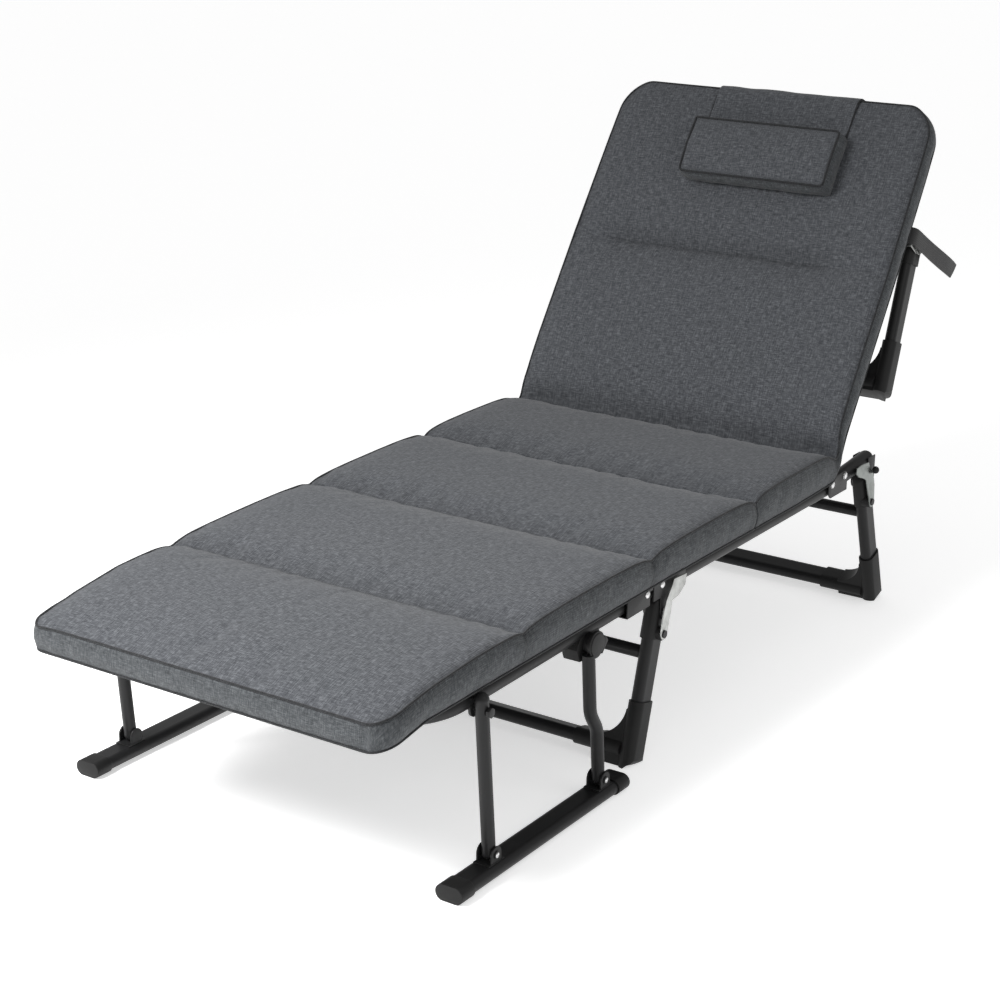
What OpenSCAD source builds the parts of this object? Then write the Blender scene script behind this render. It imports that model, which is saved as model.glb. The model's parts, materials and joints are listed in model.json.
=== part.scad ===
// Folding chaise lounge: three hinged tube frames under one long mattress, on two folding U legs,
// a third U leg stowed behind the back, and a folding skid foot on each side of the foot end.
// +X is the sitter's left, -Y the foot end, +Z up. Lengths along the lounge ("stations") are
// measured from the foot end of the mattress and moved to the middle of the whole at the end.

/* [Frame tubes] */
// Diameter of the side rails
rail_d = 25; // [22:0.5:25]
// Distance from the middle plane to each seat and foot rail
rail_x = 300; // [280:1:310]
// Distance from the middle plane to each back rail
back_rail_x = 273; // [250:1:273]
// Height of the seat rails' centre line
rail_z = 266; // [262:1:270]
// Wall thickness of every tube
wall = 1.5; // [1:0.1:2]

/* [Sections] */
// Station of the pivot between foot section and seat
knee_y = 644; // [640:1:648]
// Height of that pivot
knee_z = 288; // [287:1:289]
// Station of the pivot between seat and back
hip_y = 1262; // [1258:1:1266]
// Height of that pivot
hip_z = 281; // [280:1:282]
// Angle of the back above the horizontal
back_angle = 55.8; // [50:0.1:60]
// Downward slope of the foot section
foot_drop = 1.07; // [0.8:0.01:1.3]
// Distance from the hip pivot to the top edge of the back cushion
back_len = 671; // [660:1:680]

/* [Mattress] */
// Width of the mattress on the seat
pad_w = 644; // [630:1:650]
// Width of the mattress on the back
back_pad_w = 620; // [600:1:624]
// Thickness of the mattress
pad_t = 52; // [40:1:54]
// Thickness of the mattress on the back
back_pad_t = 36; // [30:1:40]
// Length of mattress each side of the knee that crumples when the foot section folds
knee_give = 107; // [104:1:112]

/* [Legs] */
// Long side of the flat-oval leg tube
leg_w = 40; // [36:1:40]
// Short side of the flat-oval leg tube
leg_t = 20; // [18:1:20]
// Station of the middle leg's pivot
mid_leg_y = 688; // [686:1:690]
// Lean of the middle leg towards the foot end
mid_lean = 15.3; // [14:0.1:17]
// Station of the back leg's pivot
back_leg_y = 1400; // [1396:1:1400]
// Lean of the back leg towards the head end
back_lean = 18.2; // [17.5:0.1:18.4]
// Height of the middle leg's pivot
leg_pivot_z = 228; // [226:1:228]
// Height of the back leg's pivot
back_leg_z = 242; // [241:1:243]
// Length of the head leg from its pivot to its sole
head_leg_len = 264; // [262:1:264]
// Distance of the head leg's pivot from the hip pivot, along the back
head_pivot = 445; // [440:1:450]
// Angle by which the head leg hangs away from the back
head_open = 15; // [10:1:20]

/* [Skid feet] */
// Distance from the middle plane to each skid
skid_x = 323; // [322.5:0.5:326]
// Diameter of the skid legs
strut_d = 19; // [17:0.5:19]
// Station of the front skid leg's upper pivot
strut_y = 199; // [190:1:205]
// Height of the upper pivots
strut_z = 246; // [244:1:247]
// Spacing of front and rear skid legs
strut_gap = 277; // [270:1:284]
// Height of the lower pivots
foot_z = 34; // [34:0.5:36]
// How far the lower pivots stand behind the upper ones
strut_lead = 19; // [15:1:23]

/* [Pillow] */
// Width of the pillow
pillow_w = 304; // [280:1:320]
// Height of the pillow along the back
pillow_h = 112; // [100:1:120]
// Thickness of the pillow
pillow_t = 57; // [50:1:65]

/* [Hidden] */
$fn = 48;

black = "#1c1c1e";
plastic = "#262628";
zinc = "#b9bcbf";
fabric = "#55595f";
cloth = "#202124";

eps = 0.1;                 // face-to-face clearance between pieces
pin_r = 4;                 // every cross pin
bore_r = 4.05;             // running bore on such a pin
loose_bore_r = 4.3;        // bore of the pivot that closes each skid's linkage
head_r = 6.5;              // rivet head
head_t = 1.8;
rail_r = rail_d / 2;
sling_t = 1.2;
mid_y = 828.8;               // station of the middle of the whole

// knee hinge cheeks, as distances from the rail's centre plane
seat_cheek_in = 13.4;
cheek_t = 2;
foot_cheek_in = seat_cheek_in + cheek_t + 0.4;
lock_x = rail_x + 20.2;

// seat
seat_rail_start = 652;
seat_rail_end = 1236;
tail_d = 27;
tail_end = 1406;
tail_slope = 4.5;
seat_rail_top = rail_z + rail_r;
pad_bottom = 284;
pad_top = pad_bottom + pad_t;
seat_pad_start = knee_y + knee_give;
seat_pad_end = 1205;

// foot section, in its own frame from the knee pivot
foot_rail_z = rail_z - knee_z;
foot_end = -559;
foot_bend = 95;
foot_sling_z = foot_rail_z + rail_r + eps;

// back, in its own frame from the hip pivot
back_bend = 80;
back_bar = 640;
back_sling_z = rail_r + eps;
back_pad_z = 14;
back_pad_start = 64;
back_pad_top = back_pad_z + back_pad_t;

// U legs
sleeve_t = 3;
boss_r = 10.5;
crossbar_z = -69;
shoe_h = 96;
mid_leg_len = leg_pivot_z / cos(mid_lean);
back_leg_len = back_leg_z / cos(back_lean);
mid_stud = [-4.6, -34.4];   // lock plate studs, in each leg's own frame
back_stud = [-13, -33];
head_leg_x = rail_x + 3;
head_pivot_n = -30;
head_stand_z = hip_z + head_pivot_n;
head_lean = acos(head_stand_z / head_leg_len);

// skid struts
strut_drop = strut_z - foot_z;
strut_len = sqrt(strut_drop * strut_drop + strut_lead * strut_lead);
strut_tilt = atan(strut_lead / strut_drop);
strut_r = strut_d / 2;
disc_r = 20;
disc_in = -1;

// pillow
pillow_x = 18;
pillow_low = 478;

// ---------- helpers ----------

// whole part: stations to the row frame
module placed() { translate([0, -mid_y, 0]) children(); }

module both_sides() {
  children();
  mirror([1, 0, 0]) children();
}

module side(name) {
  if (name == "left") children();
  else mirror([1, 0, 0]) children();
}

// frames that move: origin at the pivot
module in_foot() { placed() translate([0, knee_y, knee_z]) rotate([foot_drop, 0, 0]) children(); }
module in_back() { placed() translate([0, hip_y, hip_z]) rotate([back_angle, 0, 0]) children(); }
module in_mid_leg() { placed() translate([0, mid_leg_y, leg_pivot_z]) rotate([-mid_lean, 0, 0]) children(); }
module in_back_leg() { placed() translate([0, back_leg_y, back_leg_z]) rotate([back_lean, 0, 0]) children(); }
module in_head_leg() {
  in_back() translate([0, head_pivot, head_pivot_n]) rotate([head_open - 90, 0, 0]) children();
}
module in_front_strut() { placed() translate([skid_x, strut_y, strut_z]) rotate([strut_tilt, 0, 0]) children(); }
module in_rear_strut() {
  placed() translate([skid_x, strut_y + strut_gap, strut_z]) rotate([strut_tilt, 0, 0]) children();
}

// profile drawn in the Y-Z plane, extruded along X from x0 to x1
module plate(x0, x1) {
  translate([x0, 0, 0]) rotate([90, 0, 90]) linear_extrude(x1 - x0) children();
}

module rod_x(r, x0, x1) { translate([x0, 0, 0]) rotate([0, 90, 0]) cylinder(r = r, h = x1 - x0); }
module rod_y(r, y0, y1) { translate([0, y0, 0]) rotate([-90, 0, 0]) cylinder(r = r, h = y1 - y0); }

module tube_y(d, y0, y1) {
  difference() {
    rod_y(d / 2, y0, y1);
    rod_y(d / 2 - wall, y0 - 1, y1 + 1);
  }
}

module tube_x(d, x0, x1) {
  difference() {
    rod_x(d / 2, x0, x1);
    rod_x(d / 2 - wall, x0 - 1, x1 + 1);
  }
}

// quarter bend of tube: turns from +Y at x = r to -X at y = r
module bend(d, r) {
  rotate_extrude(angle = 90) translate([r, 0]) difference() {
    circle(d = d);
    circle(d = d - 2 * wall);
  }
}

// flat-oval outline, long side along the second axis
module flat_oval(long, short) {
  square([short, long - short], center = true);
  translate([0, (long - short) / 2]) circle(d = short);
  translate([0, -(long - short) / 2]) circle(d = short);
}

module round_head(x, length) { rod_x(head_r, x, x + length); }

// pin with a round head at each end
module headed_pin(x0, x1) {
  rod_x(pin_r, x0, x1);
  rod_x(head_r, x0 - head_t, x0);
  rod_x(head_r, x1, x1 + head_t);
}

// flat cushion outline with rounded corners at the far end
module cushion_outline(w, l, r) {
  translate([-w / 2, 0]) square([w, l - r]);
  translate([-w / 2 + r, 0]) square([w - 2 * r, l]);
  for (s = [-1, 1]) translate([s * (w / 2 - r), l - r]) circle(r = r);
}

// ---------- seat section ----------

module seat_rails() color(black) placed() both_sides() translate([rail_x, 0, rail_z])
  tube_y(rail_d, seat_rail_start, seat_rail_end);

// the rails run on past the hip, carry the back leg and end in a plug
module rail_tails() color(black) placed() both_sides()
  translate([rail_x, seat_rail_end + 1, rail_z + 1]) rotate([tail_slope, 0, 0]) {
    tube_y(tail_d, 0, tail_end - seat_rail_end);
    translate([0, tail_end - seat_rail_end, 0]) intersection() {
      sphere(r = tail_d / 2);
      rod_y(tail_d / 2, 0, tail_d);
    }
  }

module knee_cheek_outline() {
  difference() {
    union() {
      translate([634, rail_z - 14]) square([111, 28]);
      translate([knee_y, knee_z]) circle(r = 11);
      translate([mid_leg_y, leg_pivot_z]) circle(r = 14);
      translate([mid_leg_y - 14, leg_pivot_z]) square([28, 30]);
    }
    translate([knee_y, knee_z]) circle(r = bore_r);
    translate([mid_leg_y, leg_pivot_z]) circle(r = bore_r);
    // room for the foot section's rail end
    translate([600, rail_z - 40]) square([seat_rail_start - 600, 49]);
  }
}

// folded channel over the rail: holds the knee pin above and the middle leg's pin below
module knee_channels() color(black) placed() both_sides() translate([rail_x, 0, 0]) {
  for (s = [-1, 1]) {
    plate(s > 0 ? seat_cheek_in : -seat_cheek_in - cheek_t, s > 0 ? seat_cheek_in + cheek_t : -seat_cheek_in)
      knee_cheek_outline();
  }
  translate([-seat_cheek_in, 662, seat_rail_top + eps]) cube([2 * seat_cheek_in, 83, 1.4]);
}

// plates that carry the hip pivot, inboard and outboard of the rail
module hip_plates() color(black) placed() both_sides() {
  plate(rail_x + tail_d / 2 + eps, rail_x + tail_d / 2 + 2.2) difference() {
    translate([1231, 254]) square([71, 34]);
    translate([1231, 254]) rotate(45) square([12, 12], center = true);
    translate([1302, 288]) rotate(45) square([12, 12], center = true);
  }
  plate(rail_x - tail_d / 2 - 2.3, rail_x - tail_d / 2 - eps) {
    translate([1226, 258]) square([34, 22]);
    translate([hip_y, hip_z]) circle(r = 14);
  }
  // hip pin, short, inboard of the rail
  translate([0, hip_y, hip_z]) rod_x(5, back_rail_x - 14, rail_x - tail_d / 2 - 1);
  // rivets
  for (p = [[1244, 277], [1292, 281]]) translate([0, p[0], p[1]])
    round_head(rail_x + tail_d / 2 + 2.2, head_t);
}

// cheeks under each tail for the back leg's pivot
module leg_brackets() color(black) placed() both_sides() {
  for (s = [-1, 1]) {
    x = rail_x + s * (seat_cheek_in + cheek_t / 2);
    difference() {
      plate(x - cheek_t / 2, x + cheek_t / 2) difference() {
        union() {
          translate([back_leg_y, back_leg_z]) circle(r = 14);
          translate([back_leg_y - 14, back_leg_z]) square([28, 46]);
        }
        translate([back_leg_y, back_leg_z]) circle(r = bore_r);
      }
      translate([rail_x, seat_rail_end + 1, rail_z + 1]) rotate([tail_slope, 0, 0])
        rod_y(tail_d / 2 + 0.02, -10, 200);
      // room for the back rail when the back lies flat
      translate([back_rail_x, back_leg_y - 20, back_leg_z + 25]) cube([rail_r + 0.15, 40, 40]);
    }
  }
}

module hinge_pins() color(zinc) placed() both_sides() {
  translate([rail_x, knee_y, knee_z])
    headed_pin(-foot_cheek_in - cheek_t - 0.2, foot_cheek_in + cheek_t + 0.2);
  for (p = [[mid_leg_y, leg_pivot_z], [back_leg_y, back_leg_z]]) translate([rail_x, p[0], p[1]])
    headed_pin(-seat_cheek_in - cheek_t - 0.1, seat_cheek_in + cheek_t + 0.1);
}

module seat_sling() color(cloth) placed()
  translate([-rail_x + 8, 748, seat_rail_top + eps]) cube([2 * rail_x - 16, 1222 - 748, sling_t]);

module seat_pad() color(fabric) placed()
  translate([-pad_w / 2, seat_pad_start, pad_bottom]) cube([pad_w, seat_pad_end - seat_pad_start, pad_t]);

// the soft length of mattress over the knee
module mattress_knee() color(fabric) placed()
  translate([-280, knee_y - knee_give + 3, pad_bottom])
    cube([560, 2 * knee_give - 3.3, pad_t - 6]);

function back_point(a, n) = [
  hip_y + a * cos(back_angle) - n * sin(back_angle),
  hip_z + a * sin(back_angle) + n * cos(back_angle)
];

// the soft length of mattress in the crease of seat and back
module mattress_crease() color(fabric) placed() plate(-255, 255) polygon([
  [seat_pad_end + 0.3, pad_bottom],
  [hip_y - 24, pad_bottom],
  back_point(0, back_pad_z + 1),
  back_point(back_pad_start - 0.5, back_pad_z + 1),
  back_point(back_pad_start - 0.5, back_pad_top),
  [hip_y - 24, pad_top + 3],
  [seat_pad_end + 0.3, pad_top]
]);

// ---------- foot section ----------

module foot_rails() color(black) in_foot() both_sides() translate([rail_x, 0, foot_rail_z])
  tube_y(rail_d, foot_end + foot_bend, -10);

module foot_corners() color(black) in_foot() both_sides()
  translate([rail_x - foot_bend, foot_end + foot_bend - eps, foot_rail_z]) rotate([180, 0, 0])
    bend(rail_d, foot_bend);

module foot_end_bar() color(black) in_foot()
  translate([0, foot_end, foot_rail_z])
    tube_x(rail_d, -rail_x + foot_bend + eps, rail_x - foot_bend - eps);

module foot_cheek_outline() {
  difference() {
    union() {
      circle(r = 11);
      translate([-72, foot_rail_z - 14]) square([64, 28]);
      translate([-16, foot_rail_z + 8]) square([16, 12]);
    }
    circle(r = bore_r);
  }
}

// folded channel under the foot rail's end, one ear up to the knee pin on each side
module foot_channels() color(black) in_foot() both_sides() translate([rail_x, 0, 0]) {
  for (s = [-1, 1]) {
    plate(s > 0 ? foot_cheek_in : -foot_cheek_in - cheek_t, s > 0 ? foot_cheek_in + cheek_t : -foot_cheek_in)
      foot_cheek_outline();
  }
  translate([-foot_cheek_in - 1, -72, foot_rail_z - rail_r - 1.6])
    cube([2 * foot_cheek_in + 2, 52, 1.5]);
}

// clutch housing below the foot rail, with the rear strut's pin
module clutch_housings() color(plastic) both_sides() {
  placed() translate([0, strut_y + strut_gap, strut_z]) {
    difference() {
      plate(rail_x - 14, skid_x - strut_r - 0.9) polygon([
        [-22, 14], [-30, -3], [-22, -22], [26, -24], [38, -6], [26, 14]
      ]);
      translate([rail_x, 0, rail_z - strut_z - 3]) rotate([foot_drop, 0, 0])
        rod_y(rail_r + 0.25, -60, 60);
    }
    // lug beside the strut's head
    plate(skid_x - strut_r - 1, skid_x - 1) polygon([[23, -22], [38, -6], [31, 3], [23, 0]]);
    rod_x(pin_r, skid_x - strut_r - 0.9, skid_x + disc_in + 4.2);
  }
}

// plates welded to the outside of the rail, with the front strut's bolt and nut
module strut_lugs() color(black) both_sides() placed() translate([0, strut_y, strut_z]) {
  difference() {
    plate(rail_x + rail_r - 4, rail_x + rail_r - 0.2) union() {
      circle(r = 11);
      translate([-11, 0]) square([22, 18]);
    }
    translate([rail_x, 0, rail_z - strut_z - 8.3]) rotate([foot_drop, 0, 0]) rod_y(rail_r + 0.1, -40, 40);
  }
  rod_x(pin_r, rail_x + rail_r - 2.3, skid_x + strut_r + 1);
  translate([skid_x + strut_r + 1, 0, 0]) rotate([0, 90, 0]) cylinder(r = 7.5, h = 5, $fn = 6);
}

module foot_sling() color(cloth) in_foot()
  translate([-rail_x + 8, foot_end + 6, foot_sling_z])
    cube([2 * rail_x - 16, -foot_end - 6 - 76, sling_t]);

// foot cushion: carried by the frame, drooping where it overhangs the end
module foot_pad() color(fabric) in_foot() plate(-pad_w / 2 + 10, pad_w / 2 - 10) polygon([
  [-knee_give, pad_bottom - knee_z],
  [-knee_give, pad_top - knee_z],
  [-540, pad_top - knee_z - 6],
  [-630, pad_top - knee_z - 18],
  [-643, pad_top - knee_z - 28],
  [-643, -26],
  [-575, -4.5]
]);

// ---------- back section ----------

module back_rails() color(black) in_back() both_sides() translate([back_rail_x, 0, 0])
  tube_y(rail_d, 21, back_bar - back_bend);

module back_corners() color(black) in_back() both_sides()
  translate([back_rail_x - back_bend, back_bar - back_bend + eps, 0]) bend(rail_d, back_bend);

module back_top_bar() color(black) in_back() translate([0, back_bar + eps, 0])
  tube_x(rail_d, -back_rail_x + back_bend + eps, back_rail_x - back_bend - eps);

module back_cross_tube() color(black) in_back() translate([0, 75, 0]) difference() {
  tube_x(18, -back_rail_x + 2, back_rail_x - 2);
  both_sides() translate([back_rail_x, 0, 0]) rod_y(rail_r + 0.05, -30, 30);
}

// toothed hip discs on the ends of the back rails
module hip_gears() color(black) in_back() both_sides() difference() {
  union() {
    rod_x(17, back_rail_x - 11, back_rail_x + 11);
    plate(back_rail_x - 4, back_rail_x + 4) translate([0, -9]) square([20.9, 18]);
  }
  rod_x(5.05, back_rail_x - 20, back_rail_x + 20);
}

// U-shaped brackets on the outside of the back rails
module head_leg_brackets() color(zinc) in_back() both_sides()
  translate([0, head_pivot, 0]) {
    difference() {
      union() {
        plate(back_rail_x + rail_r + eps, back_rail_x + rail_r + 3) head_cheek();
        plate(head_leg_x + leg_t / 2 + sleeve_t + 0.6, head_leg_x + leg_t / 2 + sleeve_t + 2.6) head_cheek();
        translate([back_rail_x + rail_r + eps, -16, 6])
          cube([head_leg_x + leg_t / 2 + sleeve_t + 2.6 - back_rail_x - rail_r - eps, 32, 2]);
      }
    }
    translate([0, 0, head_pivot_n])
      rod_x(pin_r, back_rail_x + rail_r + 1, head_leg_x + leg_t / 2 + sleeve_t + 2);
  }

module head_cheek() {
  translate([0, head_pivot_n]) circle(r = 13);
  translate([-16, -22]) square([32, 30]);
}

module back_sling() color(cloth) in_back()
  translate([-back_rail_x + 6, 32, back_sling_z])
    cube([2 * back_rail_x - 12, back_bar - 28, sling_t]);

module back_pad() color(fabric) in_back() translate([0, back_pad_start, back_pad_z])
  linear_extrude(back_pad_t) cushion_outline(back_pad_w, back_len - back_pad_start, 68);

// webbing carry strap: comes over the back rail from under the cushion and hangs behind
module carry_strap() color(cloth) in_back() translate([0, 426, 0]) rotate([90, 0, 0]) mirror([0, 0, 1])
  linear_extrude(38) polygon([
    [268, back_pad_z - 0.05], [268, back_pad_z - 1.4], [321, back_pad_z - 1.4], [331, -60], [335, -150],
    [336.6, -150], [332.6, -60], [322.6, back_pad_z - 0.05]
  ]);

module pillow_flap_rear() color(fabric) in_back()
  translate([pillow_x - pillow_w / 2 + 4, 0, 0]) {
    translate([0, back_len + 0.3, -20]) cube([pillow_w - 8, 2, back_pad_top + 20 - 0.4]);
    translate([0, back_len - 70, -20]) cube([pillow_w - 8, 72, 2]);
  }

// ---------- U legs, each in its own frame with the pivot at the origin ----------

module leg_section(grow) { flat_oval(leg_w + 2 * grow, leg_t + 2 * grow); }

// upper end of a leg is rounded about its pivot
module rounded_top(r) {
  intersection() {
    children();
    union() {
      rod_x(r, -60, 60);
      translate([-60, -60, -400]) cube([120, 120, 400]);
    }
  }
}

module leg_post(len) {
  difference() {
    rounded_top(leg_w / 2) translate([0, 0, -len + 36]) linear_extrude(len - 36 + 30) leg_section(0);
    translate([0, 0, -len + 35]) linear_extrude(len - 36 - 25) leg_section(-wall);
    rod_x(bore_r, -30, 30);
  }
}

module leg_floor_bar(len, half) {
  translate([0, 0, -len + 22]) rotate([0, 90, 0]) linear_extrude(2 * half - leg_t - 8, center = true)
    difference() {
      leg_section(0);
      leg_section(-wall);
    }
}

module leg_crossbar(z, half) {
  translate([0, 0, z]) tube_x(20, -half + leg_t / 2 + 0.05, half - leg_t / 2 - 0.05);
}

// plastic sleeve round the top of a leg, open below, with a boss round the lock stud if there is one
module leg_sleeve(reach, stud) {
  difference() {
    union() {
      rounded_top(leg_w / 2 + sleeve_t) translate([0, 0, -reach]) linear_extrude(reach + 40)
        leg_section(sleeve_t);
      if (stud) translate([0, stud[0], stud[1]]) rod_x(boss_r, 5, lock_x - rail_x - 0.3);
    }
    rounded_top(leg_w / 2 + eps) translate([0, 0, -reach - 1]) linear_extrude(reach + 40) leg_section(eps);
    rod_x(bore_r, -30, 30);
    if (stud) translate([0, stud[0], stud[1]]) rod_x(6.1, 0, 40);
  }
}

// corner shoe: an oval socket for the post and one for the floor bar, joined by a curved web
module leg_shoe(len, half, tilt, pivot_z) {
  inner = half - 92;
  web = half - 12;
  difference() {
    intersection() {
      union() {
        translate([half, 0, -len - 12]) linear_extrude(shoe_h + 12) leg_section(sleeve_t);
        translate([inner, 0, -len + 22]) rotate([0, 90, 0]) linear_extrude(web - inner) leg_section(sleeve_t);
        translate([0, -18, 0]) rotate([-90, 0, 0]) mirror([0, 1, 0]) linear_extrude(36) difference() {
          translate([web - 46, -len - 12]) square([50, 94]);
          translate([web - 50, -len + 85]) circle(r = 50);
        }
      }
      // rounded outer corner of the sole
      translate([0, -40, -len]) rotate([-90, 0, 0]) mirror([0, 1, 0]) linear_extrude(80) union() {
        translate([inner - 1, -40]) square([half + 1 - inner, 300]);
        translate([inner - 1, 12]) square([half + 19 - inner, 300]);
        translate([half - 1, 12]) circle(r = 14);
      }
      rotate([-tilt, 0, 0]) translate([-500, -500, -pivot_z]) cube([1000, 1000, 1000]);
    }
    translate([half, 0, -len + 35.8]) linear_extrude(200) leg_section(eps);
    translate([inner - 1, 0, -len + 22]) rotate([0, 90, 0]) linear_extrude(half - leg_t / 2 - 3.9 - inner + 1)
      leg_section(eps);
  }
}

// stud, spacer and retaining head that a lock plate turns on, standing out of the post
module lock_stud() {
  rod_x(3, 5, lock_x - rail_x + 3);
  rod_x(6, leg_t / 2 - 2, lock_x - rail_x - 0.3);
  rod_x(6, lock_x - rail_x + cheek_t + 0.3, lock_x - rail_x + cheek_t + 1.8);
}

module mid_leg_posts() color(black) in_mid_leg() both_sides() translate([rail_x, 0, 0]) {
  leg_post(mid_leg_len);
  translate([0, mid_stud[0], mid_stud[1]]) lock_stud();
}
module mid_leg_floor_bar() color(black) in_mid_leg() leg_floor_bar(mid_leg_len, rail_x);
module mid_leg_crossbar() color(black) in_mid_leg() leg_crossbar(crossbar_z, rail_x);
module mid_leg_shoes() color(plastic) in_mid_leg() both_sides()
  leg_shoe(mid_leg_len, rail_x, -mid_lean, leg_pivot_z);
module mid_leg_sleeves() color(plastic) in_mid_leg() both_sides()
  translate([rail_x, 0, 0]) leg_sleeve(45, mid_stud);

module back_leg_posts() color(black) in_back_leg() both_sides() translate([rail_x, 0, 0]) {
  leg_post(back_leg_len);
  translate([0, back_stud[0], back_stud[1]]) lock_stud();
}
module back_leg_floor_bar() color(black) in_back_leg() leg_floor_bar(back_leg_len, rail_x);
module back_leg_crossbar() color(black) in_back_leg() leg_crossbar(crossbar_z, rail_x);
module back_leg_shoes() color(plastic) in_back_leg() both_sides()
  leg_shoe(back_leg_len, rail_x, back_lean, back_leg_z);
module back_leg_sleeves() color(plastic) in_back_leg() both_sides()
  translate([rail_x, 0, 0]) leg_sleeve(45, back_stud);

module head_leg_posts() color(black) in_head_leg() both_sides()
  translate([head_leg_x, 0, 0]) leg_post(head_leg_len);
module head_leg_floor_bar() color(black) in_head_leg() leg_floor_bar(head_leg_len, head_leg_x);
module head_leg_shoes() color(plastic) in_head_leg() both_sides()
  leg_shoe(head_leg_len, head_leg_x, head_lean, head_stand_z);
module head_leg_sleeves() color(plastic) in_head_leg() both_sides()
  translate([head_leg_x, 0, 0]) leg_sleeve(32, false);

// ---------- lock plates: bent straps outside each leg, turning on the leg's stud ----------

module lock_plate(stud, outline) {
  translate([0, stud[0], stud[1]]) difference() {
    plate(lock_x, lock_x + cheek_t) union() {
      polygon(outline);
      circle(r = 9);
    }
    rod_x(3.05, lock_x - 5, lock_x + 5);
  }
}

module mid_lock_plates() color(zinc) in_mid_leg() both_sides() lock_plate(mid_stud, [
  [-9, -2], [9, -2], [9, 38], [8, 51], [25, 58], [41, 75], [39, 91], [2, 83], [0, 73], [-10, 51], [-12, 34]
]);

module back_lock_plates() color(zinc) in_back_leg() both_sides() {
  lock_plate(back_stud, [
    [-8, -2], [8, -2], [15, 28], [14, 50], [3, 73], [1, 82], [-24, 92], [-44, 97], [-46, 87],
    [-40, 77], [-23, 64], [-13, 53], [-11, 34]
  ]);
  // thumb knob
  translate([lock_x + cheek_t + 0.2, back_stud[0] + 15.5, back_stud[1] + 58]) {
    rod_x(2.5, -2, 4);
    translate([3.5, 0, 0]) intersection() {
      sphere(r = 6.5);
      rod_x(6.5, -3.5, 6.5);
    }
  }
}

// ---------- skid feet ----------

module front_strut(name) color(black) side(name) in_front_strut() {
  difference() {
    union() {
      translate([0, 0, -strut_len]) cylinder(r = strut_r, h = strut_len + 16);
      translate([0, 0, 16]) intersection() {
        sphere(r = strut_r + 1);
        cylinder(r = strut_r + 1, h = 12);
      }
      intersection() {
        translate([0, 0, -strut_len]) sphere(r = strut_r);
        translate([0, 0, -strut_len - 20]) cylinder(r = 20, h = 20);
      }
    }
    rod_x(bore_r, -20, 20);
    translate([0, 0, -strut_len]) rod_x(bore_r, -20, 20);
    translate([0, 0, -strut_len + 16]) cylinder(r = strut_r - wall, h = strut_len - 32);
  }
}

// bent strut: two straights offset by equal and opposite bends
strut_offset = 17;
strut_bend = 45;
strut_turn = 28;
strut_slant = (strut_offset - 2 * strut_bend * (1 - cos(strut_turn))) / sin(strut_turn);
strut_jog_top = -90;

module strut_arc() {
  translate([0, strut_bend, 0]) rotate([0, 90, 0]) rotate([0, 0, -90])
    rotate_extrude(angle = strut_turn) translate([strut_bend, 0]) circle(r = strut_r);
}

module rear_strut(name) color(black) side(name) in_rear_strut() {
  jog_end = strut_jog_top - 2 * strut_bend * sin(strut_turn) - strut_slant * cos(strut_turn);
  difference() {
    union() {
      translate([0, -strut_offset, strut_jog_top]) cylinder(r = strut_r, h = -strut_jog_top - 8);
      translate([0, -strut_offset, strut_jog_top]) strut_arc();
      translate([0, -strut_offset, strut_jog_top]) translate([0, strut_bend, 0])
        rotate([strut_turn, 0, 0]) translate([0, -strut_bend, -strut_slant]) cylinder(r = strut_r, h = strut_slant);
      translate([0, 0, jog_end]) rotate([180, 0, 0]) strut_arc();
      translate([0, 0, -strut_len]) cylinder(r = strut_r, h = jog_end + strut_len);
      intersection() {
        translate([0, 0, -strut_len]) sphere(r = strut_r);
        translate([0, 0, -strut_len - 20]) cylinder(r = 20, h = 20);
      }
      rod_x(16, -strut_r, disc_in - eps);
    }
    rod_x(bore_r, -20, 20);
    // seat of the clutch disc
    rod_x(disc_r + 0.3, disc_in - eps, 20);
    translate([0, 0, -strut_len]) rod_x(loose_bore_r, -20, 20);
  }
}

// clutch disc, let into the outside of the rear strut's head
module clutch_disc(name) color(plastic) side(name) in_rear_strut() difference() {
  union() {
    rod_x(disc_r, disc_in, disc_in + 5);
    rod_x(disc_r - 3, disc_in + 5, disc_in + 6.5);
  }
  rod_x(bore_r + 0.01, disc_in - 1, disc_in + 4.6);
}

module in_skid() { placed() translate([skid_x, strut_y + strut_lead, 0]) children(); }

module skid_section(grow) { rotate(90) flat_oval(leg_w + 2 * grow, leg_t + 2 * grow); }

module skid(name) color(black) side(name) in_skid() translate([0, -86, 12]) rotate([-90, 0, 0])
  linear_extrude(strut_gap + 86 + 48) difference() {
    skid_section(0);
    skid_section(-wall);
  }

module skid_caps(name) color(plastic) side(name) in_skid() {
  for (end = [0, 1]) {
    translate([0, end == 0 ? -92 : strut_gap + 54, 12]) mirror([0, end, 0]) rotate([-90, 0, 0]) difference() {
      linear_extrude(30) skid_section(2);
      translate([0, 0, 5.9]) linear_extrude(30) skid_section(eps);
    }
  }
}

// bent clevises on the skid, each with its pin
module skid_clevises(name) color(zinc) side(name) in_skid() {
  for (y = [0, strut_gap]) {
    translate([0, y, 0]) {
      translate([-13, -18, 22.1]) cube([26, 36, 1.9]);
      for (s = [-1, 1]) {
        x = s * (strut_r + 1.7);
        plate(x - 1.1, x + 1.1) union() {
          translate([0, foot_z]) circle(r = 12);
          translate([-12, 23]) square([24, foot_z - 23]);
        }
      }
      translate([0, 0, foot_z]) rod_x(pin_r, -strut_r - 2, strut_r + 2);
      translate([0, 0, foot_z]) rod_x(6, strut_r + 2.8, strut_r + 4.4);
    }
  }
}

// ---------- pillow ----------

module pillow() color(fabric) in_back()
  translate([pillow_x - pillow_w / 2, pillow_low, back_pad_top + 0.3]) cube([pillow_w, pillow_h, pillow_t]);

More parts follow.
